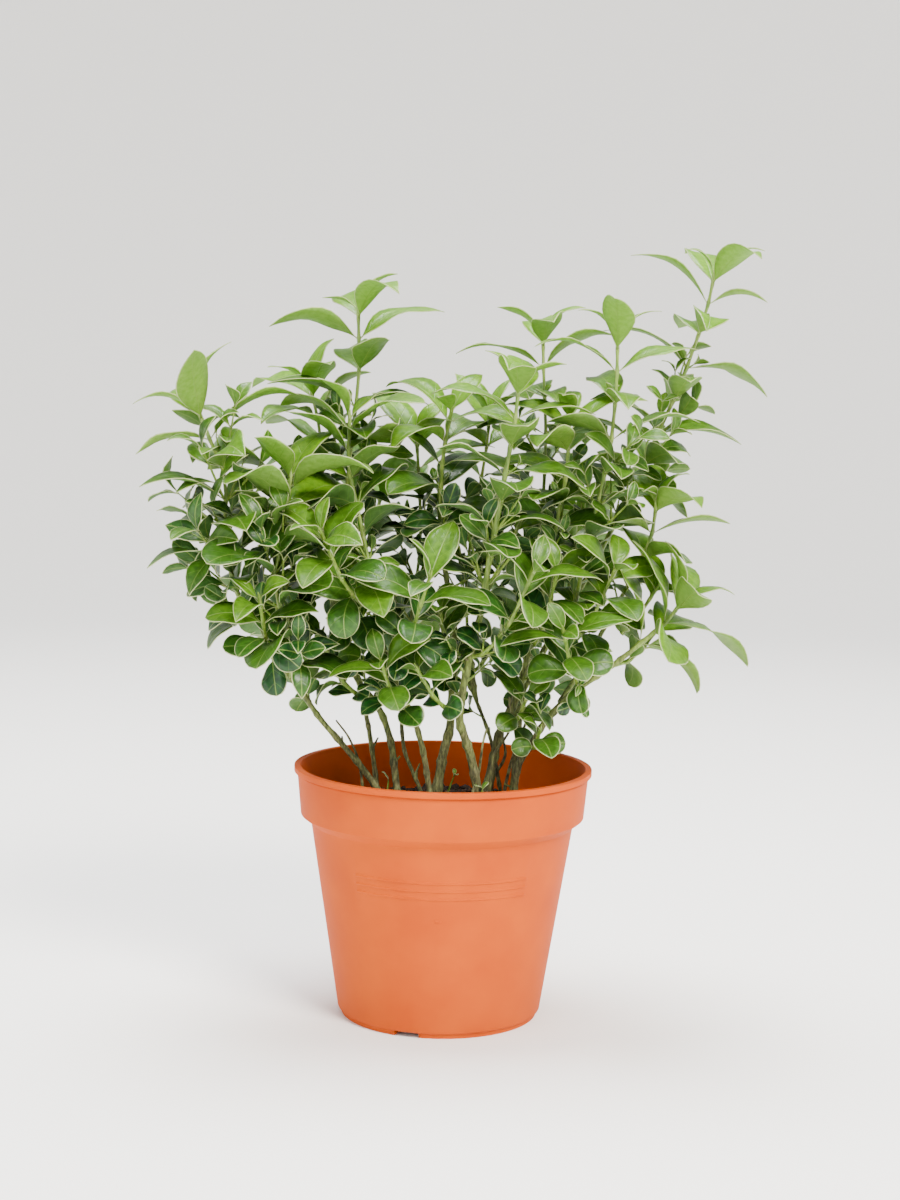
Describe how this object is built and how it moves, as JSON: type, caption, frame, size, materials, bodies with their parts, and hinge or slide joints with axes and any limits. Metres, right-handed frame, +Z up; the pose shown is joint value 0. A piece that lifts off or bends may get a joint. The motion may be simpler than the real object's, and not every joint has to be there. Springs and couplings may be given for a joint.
{
  "type": "potted serissa",
  "caption": "Bushy serissa in a round terracotta-coloured nursery pot: woody canes rise from the potting mix and carry arching shoots of opposite, cream-edged leaves.",
  "frame": {"origin": "centre of the pot's flat base, on the surface it stands on", "axes": "+Z up through the pot and the bush, -Y towards the front of the plant, +X to its right"},
  "size_m": [0.3171, 0.1791, 0.3899],
  "materials": {
    "pot": "matte",
    "potting_mix": "matte",
    "bark": "matte",
    "leafy_shoot": "satin"
  },
  "bodies": {
    "root": {"branch_low_right": "bark", "branch_low_right_side_shoot_1": "leafy_shoot", "branch_right": "bark", "branch_right_side_shoot_1": "leafy_shoot", "branch_tall_right": "bark", "branch_tall_right_side_shoot_1": "leafy_shoot", "cane_centre": "bark", "cane_centre_side_shoot_1": "leafy_shoot", "cane_centre_side_shoot_2": "leafy_shoot", "cane_front_left": "bark", "cane_front_left_side_shoot_1": "leafy_shoot", "cane_front_left_side_shoot_2": "leafy_shoot", "cane_front_left_side_shoot_3": "leafy_shoot", "cane_left": "bark", "cane_left_back": "bark", "cane_left_back_side_shoot_1": "leafy_shoot", "cane_left_back_side_shoot_2": "leafy_shoot", "cane_left_inner": "bark", "cane_left_inner_side_shoot_1": "leafy_shoot", "cane_left_inner_side_shoot_2": "leafy_shoot", "cane_left_inner_side_shoot_3": "leafy_shoot", "cane_left_side_shoot_1": "leafy_shoot", "cane_left_side_shoot_2": "leafy_shoot", "cane_left_side_shoot_3": "leafy_shoot", "cane_low_right": "bark", "cane_low_right_side_shoot_1": "leafy_shoot", "cane_low_right_side_shoot_2": "leafy_shoot", "cane_low_right_side_shoot_3": "leafy_shoot", "cane_main": "bark", "cane_main_side_shoot_1": "leafy_shoot", "cane_main_side_shoot_2": "leafy_shoot", "cane_right": "bark", "cane_right_back": "bark", "cane_right_back_side_shoot_1": "leafy_shoot", "cane_right_back_side_shoot_2": "leafy_shoot", "cane_right_side_shoot_1": "leafy_shoot", "cane_right_side_shoot_2": "leafy_shoot", "cane_right_side_shoot_3": "leafy_shoot", "cane_thin_back": "bark", "cane_thin_back_side_shoot_1": "leafy_shoot", "cane_thin_back_side_shoot_2": "leafy_shoot", "cane_twig": "bark", "cane_twig_side_shoot_1": "leafy_shoot", "pot": "pot", "potting_mix": "potting_mix", "shoot_centre": "leafy_shoot", "shoot_front_left": "leafy_shoot", "shoot_left": "leafy_shoot", "shoot_left_back": "leafy_shoot", "shoot_left_curved": "leafy_shoot", "shoot_low_branch": "leafy_shoot", "shoot_low_right": "leafy_shoot", "shoot_main": "leafy_shoot", "shoot_right": "leafy_shoot", "shoot_right_back": "leafy_shoot", "shoot_tall_left": "leafy_shoot", "shoot_tall_right": "leafy_shoot", "shoot_thin_back": "leafy_shoot", "shoot_twig": "leafy_shoot", "shoot_upright": "leafy_shoot"}
  },
  "joints": []
}
